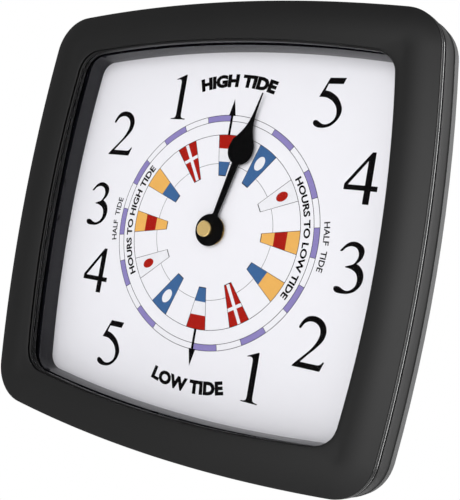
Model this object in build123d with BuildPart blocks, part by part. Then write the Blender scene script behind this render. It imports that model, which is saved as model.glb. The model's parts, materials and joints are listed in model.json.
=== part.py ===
from build123d import *
import math
import os

# A wall-hung tide clock: a bowed square moulded case, a sealed front lens, a printed dial and a
# battery movement that turns one hand once in a lunar tide cycle.
# X is to the viewer's right, Z is up, and the viewer looks along +Y. The origin is the centre of
# the keyhole in the rear face, which lies on the wall plane Y = 0.

os.makedirs("parts", exist_ok=True)

# Case outline, seen from the front
bezel_half_width = 94.2
bezel_half_height = 90.8
side_bow = 4.05
top_bow = 4.45
corner_radius = 16.8

# Depths of the case
dial_stand = 19.4
hanger_height = 52.0
case_clearance = 0.3
seat_clearance = 0.05
round_bulge_share = 1 - math.sqrt(1 / 2)

# Front bezel, a ring swept round the outline
face_width = 15.3
face_edge_rise = 14.5
face_edge_thickness = 0.3
face_crest_rise = 16.0
face_crest_inset = 7.0
face_round_width = 0.6
lip_round_width = 0.2
lip_edge_rise = 15.35
lip_shoulder_rise = 15.55
side_groove_width = 0.9
side_groove_depth = 1.2
side_bead_width = 1.1
side_bead_recess = 0.3
side_bead_proud = 0.2
fine_groove_width = 0.8
skirt_rise = 3.0
skirt_top_out = 0.3
skirt_bottom_out = 0.5
bezel_wall = 2.1
bezel_inner_wall = 2.4
lip_groove_width = 1.2
lip_groove_depth = 0.7
lip_bead_width = 1.2
lip_bead_proud = 0.5
seat_groove_width = 0.8
seat_groove_depth = 0.7
lip_thickness = 1.5
lip_set_back = 0.05
rib_wall = 1.6
rib_rise = 5.0
face_skin = 2.2
boss_radius = 2.6
boss_head_room = 1.2

# Lens, its gasket and the spacer behind it
lens_inset = 12.6
lens_clearance = 0.2
lens_thickness = 2.0
lens_rise = 8.0
gasket_thickness = 0.6
gasket_set_back = 0.1
spacer_wall_inset = 15.9
spacer_draft = 0.4
spacer_body_inset = 12.7
spacer_foot_thickness = 1.6

# Dial
dial_inset = 9.4
dial_thickness = 1.0
dial_hole_clearance = 0.2

# Back case
seal_thickness = 0.4
seal_set_back = 0.2
flange_thickness = 5.0
flange_edge_out = 0.8
flange_edge_round = 0.8
tongue_height = 3.2
tongue_wall = 1.0
ledge_width = 2.6
tub_wall = 2.4
tub_draft = 1.6
tub_edge_round = 1.2
rear_plate = 2.4
window_margin = 2.0
window_corner_radius = 3.0
keyhole_radius = 4.0
keyhole_slot_width = 4.0
keyhole_slot_rise = 9.0

# Case screws
screw_inset = 6.3
screw_radius = 1.2
screw_head_radius = 2.4
screw_head_height = 1.4
screw_reach = 9.0
screw_recess_width = 0.7
screw_recess_depth = 0.6
pilot_depth = 10.0

# Movement case
movement_half_height = 28.0
movement_corner_radius = 2.0
movement_depth = 15.6
movement_wall = 1.0
cushion_thickness = 0.8
cushion_outer_radius = 9.0
bay_height = 15.1
cover_thickness = 1.6
cover_lip_height = 1.4
cover_lip_wall = 0.8
cover_lip_gap = 0.15
pivot_boss_radius = 1.5
pivot_boss_height = 1.0
pivot_depth = 0.8
pivot_clearance = 0.05
shake = 0.2

# Threaded bush, washer and nut that hold the movement to the dial
bush_radius = 4.0
bush_stand = 1.6
bush_flange_radius = 6.0
bush_flange_thickness = 0.6
washer_radius = 6.0
washer_thickness = 0.4
nut_across_flats = 10.4
nut_chamfer = 0.25

# Tide arbor and what it carries
arbor_bush_radius = 1.5
arbor_body_radius = 1.2
arbor_thread_radius = 1.3
arbor_flange_radius = 2.4
arbor_flange_thickness = 0.6
arbor_thread_length = 2.6
hand_gap = 0.3
hand_thickness = 0.6
hand_angle = 14.0
hub_radius = 6.6
hub_fillet = 1.0
stem_root_width = 2.0
stem_end_width = 3.4
bulb_centre = 34.4
bulb_radius = 5.8
bulb_pull = 6.5
hand_length = 59.2
needle_pull = 14.7
needle_shoulder = 0.6
needle_tip = 0.25
nut_collar_across_flats = 5.6
nut_collar_height = 2.5
nut_head_radius = 3.3
nut_head_height = 1.5
nut_head_chamfer = 0.35

# Gears: tooth flanks are straight, and teeth are thinner than the gaps, so they run free
train_module = 0.3
setting_module = 0.4
tooth_root_share = 0.29
tooth_tip_share = 0.11
dedendum_share = 1.25
tide_wheel_teeth = 64
train_wheel_teeth = 48
train_pinion_teeth = 8
setting_pinion_teeth = 30
knob_gear_teeth = 20
wheel_thickness = 1.0
pinion_overhang = 0.3
wheel_spacing = 0.8
train_arbor_radius = 0.5
wheel_hole_count = 4
wheel_hole_share = 0.2
wheel_hole_place_share = 0.58
third_wheel_bearing = 35.0
second_wheel_bearing = 110.0
first_wheel_bearing = 185.0
rotor_bearing = 200.0
clutch_radius = 2.2
clutch_thickness = 0.3
clutch_gap = 0.05
tide_hub_radius = 2.2
tide_hub_length = 1.0
setting_hub_radius = 1.9
setting_gear_width = 1.2
setting_gear_level = 5.4
knob_bearing = -30.0
knob_shaft_radius = 1.0
knob_radius = 5.0
knob_height = 1.3
knob_gap = 0.2
knob_grip_count = 18
knob_grip_radius = 0.45

# Stepping motor
magnet_radius = 3.0
magnet_thickness = 2.0
magnet_level = 5.6
stator_thickness = 0.8
stator_gap = 0.4
stator_ring_width = 1.5
stator_arm_width = 4.4
coil_wall_gap = 1.1
coil_low_end = -3.0
coil_high_end = 23.0
core_width = 2.4
core_thickness = 0.8
bobbin_low = 0.5
bobbin_high = 19.5
bobbin_half = 3.4
bobbin_flange = 0.8
bobbin_wall = 0.5
winding_set_back = 0.5
bobbin_play = 0.1
stator_screw_radius = 0.8
stator_screw_head_radius = 1.5
stator_screw_head_height = 0.7
stator_screw_reach = 3.5
post_radius = 1.5

# Circuit board and what is on it
board_thickness = 0.8
board_level = 4.4
board_left = 12.0
board_wall_gap = 1.4
board_low = -9.6
board_high = 25.0
board_post_inset = 2.6
stake_radius = 0.7
stake_height = 0.5
crystal_radius = 1.0
crystal_length = 6.0
crystal_place = (16.5, 9.0)
chip_radius = 2.6
chip_height = 0.9
chip_place = (19.0, 1.0)

# Battery, a 14.5 by 50.5 mm cell, and its contacts
battery_radius = 7.25
battery_body_length = 49.2
battery_nub_radius = 2.75
battery_nub_length = 1.3
battery_edge_round = 0.6
contact_thickness = 0.4
contact_half_width = 3.5
contact_depth = 8.0
contact_low_level = 5.4
contact_tab_depth = 2.4
contact_slot_play = 0.4
contact_touch = 0.1
nub_gap = 0.2
spring_room = 2.8
spring_set_back = 0.5

# The movement is as wide as the cell with its contacts, and what stands at its walls goes with them
nub_room = contact_touch + contact_thickness + nub_gap
movement_inner_width = spring_room + battery_body_length + battery_nub_length + nub_room
movement_half_width = movement_inner_width / 2 + movement_wall
window_half_width = movement_half_width + window_margin
window_half_height = movement_half_height + window_margin
coil_offset = movement_inner_width / 2 - coil_wall_gap - bobbin_half
board_right = movement_inner_width / 2 - board_wall_gap

# Levels in front of the wall
movement_front = dial_stand - dial_thickness - cushion_thickness
movement_rear = movement_front - movement_depth
inner_front = movement_front - movement_wall
cover_face = movement_rear + cover_thickness
bush_front = dial_stand + bush_stand
hand_level = bush_front + hand_gap
cap_level = hand_level + hand_thickness
flange_front = inner_front - bush_flange_thickness - pivot_clearance
tide_wheel_level = flange_front - arbor_flange_thickness - clutch_gap - wheel_thickness
third_wheel_level = tide_wheel_level - wheel_thickness - wheel_spacing
second_wheel_level = third_wheel_level - wheel_thickness - wheel_spacing
first_wheel_level = second_wheel_level - wheel_thickness - wheel_spacing
pinion_length = wheel_thickness + 2 * pinion_overhang
pivot_front = inner_front - pivot_boss_height
stator_level = magnet_level + (magnet_thickness - stator_thickness) / 2
core_level = stator_level + stator_thickness

clock = Plane(origin=(0, 0, -hanger_height), x_dir=(1, 0, 0), z_dir=(0, -1, 0))


def front(level):
    """The plane facing the viewer, centred on the dial's axis, that far in front of the wall."""
    return clock.offset(level)


def spot(place, level):
    """The same plane, centred on a place of the clock's face."""
    return Plane(origin=clock.from_local_coords((*place, level)), x_dir=clock.x_dir, z_dir=clock.z_dir)


def bow_radius(span, bow):
    """The radius of a side that stands bow proud of the corner circles, which lie span from its middle."""
    return (span**2 + bow**2 + 2 * bow * corner_radius) / (2 * bow)


# Centres of the corner circles, and of the long arcs of the right side and the top
corner_x = bezel_half_width - side_bow - corner_radius
corner_y = bezel_half_height - top_bow - corner_radius
corner_centre = Vector(corner_x, corner_y)
side_centre = Vector(bezel_half_width - bow_radius(corner_y, side_bow), 0)
top_centre = Vector(0, bezel_half_height - bow_radius(corner_x, top_bow))
toward_side = (corner_centre - side_centre).normalized()
toward_top = (corner_centre - top_centre).normalized()
toward_corner = (toward_side + toward_top).normalized()


def case_outline(inset):
    """The bowed square of the bezel's outer edge, drawn in by inset all round with like centres."""
    side_end = corner_centre + toward_side * (corner_radius - inset)
    top_end = corner_centre + toward_top * (corner_radius - inset)
    corner = corner_centre + toward_corner * (corner_radius - inset)
    half_width = bezel_half_width - inset
    half_height = bezel_half_height - inset
    with BuildSketch() as outline:
        with BuildLine():
            for x in (1, -1):
                side_low = (x * side_end.X, -side_end.Y)
                side_high = (x * side_end.X, side_end.Y)
                ThreePointArc(side_low, (x * half_width, 0), side_high)
                for y in (1, -1):
                    ThreePointArc(
                        (x * side_end.X, y * side_end.Y),
                        (x * corner.X, y * corner.Y),
                        (x * top_end.X, y * top_end.Y),
                    )
            for y in (1, -1):
                top_left = (-top_end.X, y * top_end.Y)
                top_right = (top_end.X, y * top_end.Y)
                ThreePointArc(top_left, (0, y * half_height), top_right)
        make_face()
    return outline.sketch


def gear_outline(teeth, module, phase):
    """A gear with a tooth centred at the angle phase, and teeth of four points each."""
    pitch = 360 / teeth
    tip_radius = module * (teeth / 2 + 1)
    root_radius = module * (teeth / 2 - dedendum_share)
    corners = []
    for tooth in range(teeth):
        middle = phase + tooth * pitch
        for share, radius in (
            (-tooth_root_share, root_radius),
            (-tooth_tip_share, tip_radius),
            (tooth_tip_share, tip_radius),
            (tooth_root_share, root_radius),
        ):
            angle = math.radians(middle + share * pitch)
            corners.append((radius * math.cos(angle), radius * math.sin(angle)))
    with BuildSketch() as gear:
        with BuildLine():
            Polyline(corners, close=True)
        make_face()
    return gear.sketch


def meshed_phase(teeth, driver_teeth, direction):
    """The phase at which a gear meshes with a driver that has a tooth centred at angle 0."""
    driver_pitch = 360 / driver_teeth
    passed = (direction / driver_pitch) % 1
    return direction + 180 - (1 / 2 - passed) * 360 / teeth


def step_from(place, distance, bearing):
    """The place at that distance and bearing, in degrees anticlockwise from the right."""
    angle = math.radians(bearing)
    return (place[0] + distance * math.cos(angle), place[1] + distance * math.sin(angle))


# The bezel's outer edge at the dial's level is the path of every ring of the case
with BuildSketch(front(dial_stand)) as rim:
    add(case_outline(0))
rim_path = rim.sketch.face().outer_wire()
rim_tangent = rim_path % 0
rim_section = Plane(
    origin=rim_path @ 0,
    x_dir=rim_tangent.cross(clock.z_dir),
    z_dir=-rim_tangent,
)

screw_point = corner_centre + toward_corner * (corner_radius - screw_inset)
screw_places = [(x * screw_point.X, y * screw_point.Y) for x in (1, -1) for y in (1, -1)]

# Heights of the bezel's features above the dial, from the face down
face_round_bulge = face_round_width * round_bulge_share
lip_bulge = lip_round_width * round_bulge_share
side_groove_top = face_edge_rise - face_edge_thickness
side_bead_top = side_groove_top - side_groove_width
side_bead_low = side_bead_top - side_bead_width
fine_groove_low = side_bead_low - fine_groove_width
lens_front_rise = lens_rise + lens_thickness
lip_rise = lens_front_rise + gasket_thickness
seat_groove_low = lip_rise + lip_thickness
seat_groove_top = seat_groove_low + seat_groove_width
lip_bead_top = seat_groove_top + lip_bead_width
lip_groove_top = lip_bead_top + lip_groove_width
rib_inner = -(lens_inset - lens_clearance)
rib_outer = rib_inner + rib_wall
lip_groove_out = -(face_width - lip_groove_depth)
lip_out = -(face_width - lip_set_back)
inner_corner = -(side_groove_depth + bezel_inner_wall)
boss_top = lip_shoulder_rise - boss_head_room

with BuildPart() as front_bezel:
    with BuildSketch(rim_section):
        with BuildLine():
            Polyline(
                (skirt_bottom_out, skirt_rise),
                (skirt_top_out, fine_groove_low),
                (-side_bead_recess, fine_groove_low),
                (-side_bead_recess, side_bead_low),
            )
            ThreePointArc(
                (-side_bead_recess, side_bead_low),
                (side_bead_proud, (side_bead_low + side_bead_top) / 2),
                (-side_bead_recess, side_bead_top),
            )
            Polyline(
                (-side_bead_recess, side_bead_top),
                (-side_groove_depth, side_bead_top),
                (-side_groove_depth, side_groove_top),
                (0, side_groove_top),
                (0, face_edge_rise),
            )
            ThreePointArc(
                (0, face_edge_rise),
                (-face_round_bulge, face_edge_rise + face_round_width - face_round_bulge),
                (-face_round_width, face_edge_rise + face_round_width),
            )
            ThreePointArc(
                (-face_round_width, face_edge_rise + face_round_width),
                (-face_crest_inset, face_crest_rise),
                (-face_width + lip_round_width, lip_shoulder_rise),
            )
            ThreePointArc(
                (-face_width + lip_round_width, lip_shoulder_rise),
                (-face_width + lip_bulge, lip_shoulder_rise - lip_bulge),
                (-face_width, lip_edge_rise),
            )
            Polyline(
                (-face_width, lip_edge_rise),
                (-face_width, lip_groove_top),
                (lip_groove_out, lip_groove_top),
                (lip_groove_out, lip_bead_top),
            )
            ThreePointArc(
                (lip_groove_out, lip_bead_top),
                (-face_width - lip_bead_proud, (lip_bead_top + seat_groove_top) / 2),
                (lip_groove_out, seat_groove_top),
            )
            Polyline(
                (lip_groove_out, seat_groove_top),
                (lip_out + seat_groove_depth, seat_groove_top),
                (lip_out + seat_groove_depth, seat_groove_low),
                (lip_out, seat_groove_low),
                (lip_out, lip_rise),
                (rib_inner, lip_rise),
                (rib_inner, rib_rise),
                (rib_outer, rib_rise),
                (rib_outer, lip_shoulder_rise - face_skin / 2),
                (-face_crest_inset, face_crest_rise - face_skin),
                (inner_corner, face_edge_rise + face_round_width - face_skin),
                (inner_corner, side_bead_low),
                (-bezel_wall, fine_groove_low - fine_groove_width),
                (-bezel_wall, skirt_rise),
                (skirt_bottom_out, skirt_rise),
            )
        make_face()
    sweep(path=rim_path)
    with BuildSketch(front(dial_stand + skirt_rise - seal_thickness)):
        with Locations(screw_places):
            Circle(boss_radius)
    extrude(amount=boss_top - skirt_rise + seal_thickness)
    with BuildSketch(front(dial_stand + skirt_rise - seal_thickness)):
        with Locations(screw_places):
            Circle(screw_radius + seat_clearance)
    extrude(amount=pilot_depth, mode=Mode.SUBTRACT)
front_bezel.part.label = "front_bezel"
export_step(front_bezel.part, "parts/front_bezel.step")

with BuildPart() as lens_gasket:
    with BuildSketch(front(dial_stand + lens_front_rise)):
        add(case_outline(lens_inset))
        add(case_outline(-lip_out - gasket_set_back), mode=Mode.SUBTRACT)
    extrude(amount=gasket_thickness)
lens_gasket.part.label = "lens_gasket"
export_step(lens_gasket.part, "parts/lens_gasket.step")

with BuildPart() as lens:
    with BuildSketch(front(dial_stand + lens_rise)):
        add(case_outline(lens_inset))
    extrude(amount=lens_thickness)
lens.part.label = "lens"
export_step(lens.part, "parts/lens.step")

with BuildPart() as spacer_frame:
    with BuildSketch(rim_section):
        with BuildLine():
            Polyline(
                (-spacer_wall_inset, 0),
                (-dial_inset, 0),
                (-dial_inset, spacer_foot_thickness),
                (-spacer_body_inset, spacer_foot_thickness),
                (-spacer_body_inset, lens_rise),
                (-spacer_wall_inset + spacer_draft, lens_rise),
                close=True,
            )
        make_face()
    sweep(path=rim_path)
spacer_frame.part.label = "spacer_frame"
export_step(spacer_frame.part, "parts/spacer_frame.step")

with BuildPart() as dial:
    with BuildSketch(front(dial_stand)):
        add(case_outline(dial_inset))
        Circle(bush_radius + dial_hole_clearance, mode=Mode.SUBTRACT)
    extrude(amount=-dial_thickness)
dial.part.label = "dial"
export_step(dial.part, "parts/dial.step")

# The seal fills the parting line between the bezel and the back case
seal_level = dial_stand + skirt_rise - seal_thickness
with BuildPart() as case_seal:
    with BuildSketch(front(seal_level)):
        add(case_outline(seal_set_back - skirt_bottom_out))
        add(case_outline(bezel_wall), mode=Mode.SUBTRACT)
    extrude(amount=seal_thickness)
case_seal.part.label = "case_seal"
export_step(case_seal.part, "parts/case_seal.step")

# Back case: a flange behind the bezel, a ledge that backs the dial, and a tub for the movement
flange_front_rise = skirt_rise - seal_thickness
flange_rear_rise = flange_front_rise - flange_thickness
tongue_out = -(bezel_wall + case_clearance)
recess_out = -(dial_inset - case_clearance)
ledge_out = recess_out - ledge_width
tub_top_out = ledge_out + tub_wall
tub_rear_out = tub_top_out - tub_draft
tub_inner_rear_out = tub_rear_out - tub_wall
tub_bulge = tub_edge_round * round_bulge_share
flange_bulge = flange_edge_round * round_bulge_share

with BuildPart() as back_case:
    with BuildSketch(rim_section):
        with BuildLine():
            Polyline(
                (flange_edge_out, flange_front_rise),
                (tongue_out, flange_front_rise),
                (tongue_out, flange_front_rise + tongue_height),
                (tongue_out - tongue_wall, flange_front_rise + tongue_height),
                (tongue_out - tongue_wall, flange_front_rise),
                (recess_out, flange_front_rise),
                (recess_out, -dial_thickness),
                (ledge_out, -dial_thickness),
                (tub_inner_rear_out, rear_plate - dial_stand),
                (tub_inner_rear_out - tub_wall, rear_plate - dial_stand),
                (tub_inner_rear_out - tub_wall, -dial_stand),
                (tub_rear_out - tub_edge_round, -dial_stand),
            )
            ThreePointArc(
                (tub_rear_out - tub_edge_round, -dial_stand),
                (tub_rear_out - tub_bulge, tub_bulge - dial_stand),
                (tub_rear_out, tub_edge_round - dial_stand),
            )
            Polyline(
                (tub_rear_out, tub_edge_round - dial_stand),
                (tub_top_out, flange_rear_rise),
                (flange_edge_out - flange_edge_round, flange_rear_rise),
            )
            ThreePointArc(
                (flange_edge_out - flange_edge_round, flange_rear_rise),
                (flange_edge_out - flange_bulge, flange_rear_rise + flange_bulge),
                (flange_edge_out, flange_rear_rise + flange_edge_round),
            )
            Line(
                (flange_edge_out, flange_rear_rise + flange_edge_round),
                (flange_edge_out, flange_front_rise),
            )
        make_face()
    sweep(path=rim_path)
    with BuildSketch(front(0)):
        add(case_outline(-(tub_inner_rear_out - tub_wall / 2)))
        RectangleRounded(
            2 * window_half_width,
            2 * window_half_height,
            window_corner_radius,
            mode=Mode.SUBTRACT,
        )
        with Locations((0, hanger_height)):
            Circle(keyhole_radius, mode=Mode.SUBTRACT)
        with Locations((0, hanger_height + keyhole_slot_rise / 2)):
            SlotOverall(
                keyhole_slot_rise + keyhole_slot_width,
                keyhole_slot_width,
                rotation=90,
                mode=Mode.SUBTRACT,
            )
    extrude(amount=rear_plate)
    with BuildSketch(front(dial_stand + flange_rear_rise)):
        with Locations(screw_places):
            Circle(screw_radius + case_clearance)
    extrude(amount=flange_thickness, mode=Mode.SUBTRACT)
    with BuildSketch(front(dial_stand + flange_rear_rise)):
        with Locations(screw_places):
            Circle(screw_head_radius + case_clearance)
    extrude(amount=screw_head_height, mode=Mode.SUBTRACT)
back_case.part.label = "back_case"
export_step(back_case.part, "parts/back_case.step")

# Four screws from behind, through the flange into the bezel's bosses
screw_seat = dial_stand + flange_rear_rise + screw_head_height
with BuildPart() as case_screws:
    with BuildSketch(front(screw_seat)):
        with Locations(screw_places):
            Circle(screw_head_radius)
    extrude(amount=-screw_head_height)
    with BuildSketch(front(screw_seat)):
        with Locations(screw_places):
            Circle(screw_radius)
    extrude(amount=screw_reach)
    chamfer(case_screws.faces().group_by(Axis.Y)[0].edges(), screw_radius / 2)
    with BuildSketch(front(screw_seat - screw_head_height)):
        with Locations(screw_places):
            Rectangle(screw_head_radius, screw_recess_width)
            Rectangle(screw_recess_width, screw_head_radius)
    extrude(amount=screw_recess_depth, mode=Mode.SUBTRACT)
case_screws.part.label = "case_screws"
export_step(case_screws.part, "parts/case_screws.step")

# Places of the train's arbors, from the tide arbor outwards
tide_place = (0, 0)
mesh_distance = train_module * (train_wheel_teeth + train_pinion_teeth) / 2
tide_mesh_distance = train_module * (tide_wheel_teeth + train_pinion_teeth) / 2
setting_distance = setting_module * (setting_pinion_teeth + knob_gear_teeth) / 2
third_place = step_from(tide_place, tide_mesh_distance, third_wheel_bearing)
second_place = step_from(third_place, mesh_distance, second_wheel_bearing)
first_place = step_from(second_place, mesh_distance, first_wheel_bearing)
rotor_place = step_from(first_place, mesh_distance, rotor_bearing)
knob_place = step_from(tide_place, setting_distance, knob_bearing)
train_places = [third_place, second_place, first_place, rotor_place]
coil_ends = [(-coil_offset, coil_low_end), (-coil_offset, coil_high_end)]
board_centre = ((board_left + board_right) / 2, (board_low + board_high) / 2)
board_posts = [
    (board_right - board_post_inset, board_low + board_post_inset),
    (board_right - board_post_inset, board_high - board_post_inset),
]

# Movement case, its front half: a gear chamber above an open battery bay
bay_low = -movement_half_height + movement_wall
bay_high = bay_low + bay_height
bay_middle = (bay_low + bay_high) / 2
chamber_low = bay_high + movement_wall
chamber_high = movement_half_height - movement_wall
chamber_middle = (chamber_low + chamber_high) / 2
slot_width = contact_thickness + contact_slot_play
slot_middle = (movement_inner_width - slot_width) / 2
slot_height = contact_tab_depth + 2 * case_clearance

with BuildPart() as movement_front_case:
    with BuildSketch(front(cover_face)):
        RectangleRounded(2 * movement_half_width, 2 * movement_half_height, movement_corner_radius)
    extrude(amount=movement_front - cover_face)
    with BuildSketch(front(cover_face)):
        with Locations((0, chamber_middle)):
            Rectangle(movement_inner_width, chamber_high - chamber_low)
        with Locations((0, bay_middle)):
            Rectangle(movement_inner_width, bay_height)
    extrude(amount=inner_front - cover_face, mode=Mode.SUBTRACT)
    with BuildSketch(front(inner_front)):
        with Locations(train_places):
            Circle(pivot_boss_radius)
    extrude(amount=-pivot_boss_height)
    with BuildSketch(front(pivot_front)):
        with Locations(train_places):
            Circle(train_arbor_radius + pivot_clearance)
    extrude(amount=pivot_boss_height + shake, mode=Mode.SUBTRACT)
    with BuildSketch(front(inner_front)):
        with Locations(coil_ends):
            Circle(post_radius)
    extrude(amount=core_level + core_thickness - inner_front)
    with BuildSketch(front(core_level + core_thickness)):
        with Locations(coil_ends):
            Circle(stator_screw_radius + seat_clearance)
    extrude(amount=stator_screw_reach, mode=Mode.SUBTRACT)
    with BuildSketch(front(inner_front)):
        with Locations(board_posts):
            Circle(post_radius)
    extrude(amount=board_level + board_thickness - inner_front)
    with BuildSketch(front(board_level + board_thickness)):
        with Locations(board_posts):
            Circle(stake_radius)
    extrude(amount=-board_thickness - stake_height)
    with BuildSketch(front(inner_front)):
        Circle(bush_radius + seat_clearance)
    extrude(amount=movement_wall, mode=Mode.SUBTRACT)
    with BuildSketch(front(contact_low_level - case_clearance)):
        with Locations([(x * slot_middle, bay_high + movement_wall / 2) for x in (1, -1)]):
            Rectangle(slot_width, movement_wall)
    extrude(amount=slot_height, mode=Mode.SUBTRACT)
movement_front_case.part.label = "movement_front_case"
export_step(movement_front_case.part, "parts/movement_front_case.step")

# The rear cover closes the gear chamber and leaves the battery bay open
cover_low = chamber_low - movement_wall
cover_height = movement_half_height - cover_low
cover_middle = (cover_low + movement_half_height) / 2
lip_width = movement_inner_width - 2 * cover_lip_gap
lip_depth = chamber_high - chamber_low - 2 * cover_lip_gap
with BuildPart() as movement_rear_cover:
    with BuildSketch(front(movement_rear)):
        with Locations((0, cover_middle)):
            RectangleRounded(2 * movement_half_width, cover_height, movement_corner_radius)
    extrude(amount=cover_thickness)
    with BuildSketch(front(cover_face)):
        with Locations((0, chamber_middle)):
            Rectangle(lip_width, lip_depth)
            Rectangle(lip_width - 2 * cover_lip_wall, lip_depth - 2 * cover_lip_wall, mode=Mode.SUBTRACT)
        with Locations([(x * slot_middle, chamber_low) for x in (1, -1)]):
            Rectangle(2 * slot_width, 2 * slot_width, mode=Mode.SUBTRACT)
    extrude(amount=cover_lip_height)
    with BuildSketch(front(cover_face)):
        with Locations([tide_place, *train_places]):
            Circle(train_arbor_radius + pivot_clearance)
    extrude(amount=-pivot_depth - shake, mode=Mode.SUBTRACT)
    with BuildSketch(front(movement_rear)):
        with Locations(knob_place):
            Circle(knob_shaft_radius + pivot_clearance)
    extrude(amount=cover_thickness, mode=Mode.SUBTRACT)
movement_rear_cover.part.label = "movement_rear_cover"
export_step(movement_rear_cover.part, "parts/movement_rear_cover.step")

with BuildPart() as movement_cushion:
    with BuildSketch(front(movement_front)):
        Circle(cushion_outer_radius)
        Circle(bush_radius + dial_hole_clearance, mode=Mode.SUBTRACT)
    extrude(amount=cushion_thickness)
movement_cushion.part.label = "movement_cushion"
export_step(movement_cushion.part, "parts/movement_cushion.step")

with BuildPart() as threaded_bush:
    with BuildSketch(front(inner_front)):
        Circle(bush_flange_radius)
    extrude(amount=-bush_flange_thickness)
    with BuildSketch(front(inner_front)):
        Circle(bush_radius)
    extrude(amount=bush_front - inner_front)
    with BuildSketch(front(inner_front - bush_flange_thickness)):
        Circle(arbor_bush_radius + pivot_clearance)
    extrude(amount=bush_front - inner_front + bush_flange_thickness, mode=Mode.SUBTRACT)
threaded_bush.part.label = "threaded_bush"
export_step(threaded_bush.part, "parts/threaded_bush.step")

with BuildPart() as brass_washer:
    with BuildSketch(front(dial_stand)):
        Circle(washer_radius)
        Circle(bush_radius + dial_hole_clearance, mode=Mode.SUBTRACT)
    extrude(amount=washer_thickness)
brass_washer.part.label = "brass_washer"
export_step(brass_washer.part, "parts/brass_washer.step")

with BuildPart() as hex_nut:
    with BuildSketch(front(dial_stand + washer_thickness)):
        RegularPolygon(nut_across_flats / 2, side_count=6, major_radius=False)
        Circle(bush_radius + seat_clearance, mode=Mode.SUBTRACT)
    extrude(amount=bush_stand - washer_thickness)
    chamfer(hex_nut.faces().sort_by(Axis.Y)[0].outer_wire().edges(), nut_chamfer)
hex_nut.part.label = "hex_nut"
export_step(hex_nut.part, "parts/hex_nut.step")

# The tide arbor turns in the bush: a rear pivot, a body, a thrust flange and a threaded nose
arbor_stages = [
    (train_arbor_radius, cover_face - pivot_depth, cover_face + shake),
    (arbor_body_radius, cover_face + shake, flange_front - arbor_flange_thickness),
    (arbor_flange_radius, flange_front - arbor_flange_thickness, flange_front),
    (arbor_bush_radius, flange_front, cap_level),
    (arbor_thread_radius, cap_level, cap_level + arbor_thread_length),
]
with BuildPart() as tide_arbor:
    for radius, low, high in arbor_stages:
        with BuildSketch(front(low)):
            Circle(radius)
        extrude(amount=high - low)
tide_arbor.part.label = "tide_arbor"
export_step(tide_arbor.part, "parts/tide_arbor.step")

# The hand: a round hub, a stem that widens outwards, and a drop with a needle point
hand_right = math.radians(hand_angle)
hand_plane = Plane(
    origin=front(hand_level).origin,
    x_dir=(math.cos(hand_right), 0, -math.sin(hand_right)),
    z_dir=clock.z_dir,
)
with BuildPart() as tide_hand:
    with BuildSketch(hand_plane) as hand_shape:
        with BuildLine():
            Polyline(
                (-stem_end_width / 2, bulb_centre),
                (-stem_root_width / 2, 0),
                (stem_root_width / 2, 0),
                (stem_end_width / 2, bulb_centre),
                close=True,
            )
        make_face()
        Circle(hub_radius)
        fillet(hand_shape.vertices().filter_by_position(Axis.Y, 0, bulb_centre, (False, False)), hub_fillet)
        with BuildLine():
            Bezier(
                (bulb_radius, bulb_centre),
                (bulb_radius, bulb_centre + bulb_pull),
                (needle_shoulder, hand_length - needle_pull),
                (needle_tip, hand_length),
            )
            Line((needle_tip, hand_length), (-needle_tip, hand_length))
            Bezier(
                (-needle_tip, hand_length),
                (-needle_shoulder, hand_length - needle_pull),
                (-bulb_radius, bulb_centre + bulb_pull),
                (-bulb_radius, bulb_centre),
            )
            ThreePointArc(
                (-bulb_radius, bulb_centre),
                (0, bulb_centre - bulb_radius),
                (bulb_radius, bulb_centre),
            )
        make_face()
        Circle(arbor_bush_radius + seat_clearance, mode=Mode.SUBTRACT)
    extrude(amount=hand_thickness)
tide_hand.part.label = "tide_hand"
export_step(tide_hand.part, "parts/tide_hand.step")

with BuildPart() as hand_cap_nut:
    with BuildSketch(front(cap_level)):
        RegularPolygon(nut_collar_across_flats / 2, side_count=6, major_radius=False)
    extrude(amount=nut_collar_height)
    with BuildSketch(front(cap_level + nut_collar_height)):
        Circle(nut_head_radius)
    extrude(amount=nut_head_height)
    chamfer(hand_cap_nut.faces().sort_by(Axis.Y)[0].edges(), nut_head_chamfer)
    with BuildSketch(front(cap_level)):
        Circle(arbor_thread_radius + seat_clearance)
    extrude(amount=arbor_thread_length + case_clearance, mode=Mode.SUBTRACT)
hand_cap_nut.part.label = "hand_cap_nut"
export_step(hand_cap_nut.part, "parts/hand_cap_nut.step")


def lightened(teeth):
    """Round holes between a wheel's hub and rim."""
    wheel_radius = train_module * teeth / 2
    with BuildSketch() as holes:
        with PolarLocations(wheel_radius * wheel_hole_place_share, wheel_hole_count):
            Circle(wheel_radius * wheel_hole_share)
    return holes.sketch


# The tide wheel slips on its arbor, pressed between the arbor's flange and the clutch spring
tide_hub_level = tide_wheel_level + wheel_thickness - tide_hub_length - pinion_overhang
with BuildPart() as tide_wheel:
    with BuildSketch(front(tide_wheel_level)):
        add(gear_outline(tide_wheel_teeth, train_module, 0))
        add(lightened(tide_wheel_teeth), mode=Mode.SUBTRACT)
    extrude(amount=wheel_thickness)
    with BuildSketch(front(tide_hub_level)):
        Circle(tide_hub_radius)
    extrude(amount=tide_wheel_level + wheel_thickness - tide_hub_level)
    with BuildSketch(front(tide_hub_level)):
        Circle(arbor_body_radius + pivot_clearance)
    extrude(amount=tide_wheel_level + wheel_thickness - tide_hub_level, mode=Mode.SUBTRACT)
tide_wheel.part.label = "tide_wheel"
export_step(tide_wheel.part, "parts/tide_wheel.step")

clutch_level = tide_hub_level - clutch_gap - clutch_thickness
with BuildPart() as clutch_spring:
    with BuildSketch(front(clutch_level)):
        Circle(clutch_radius)
        Circle(arbor_body_radius + seat_clearance, mode=Mode.SUBTRACT)
    extrude(amount=clutch_thickness)
clutch_spring.part.label = "clutch_spring"
export_step(clutch_spring.part, "parts/clutch_spring.step")

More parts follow.
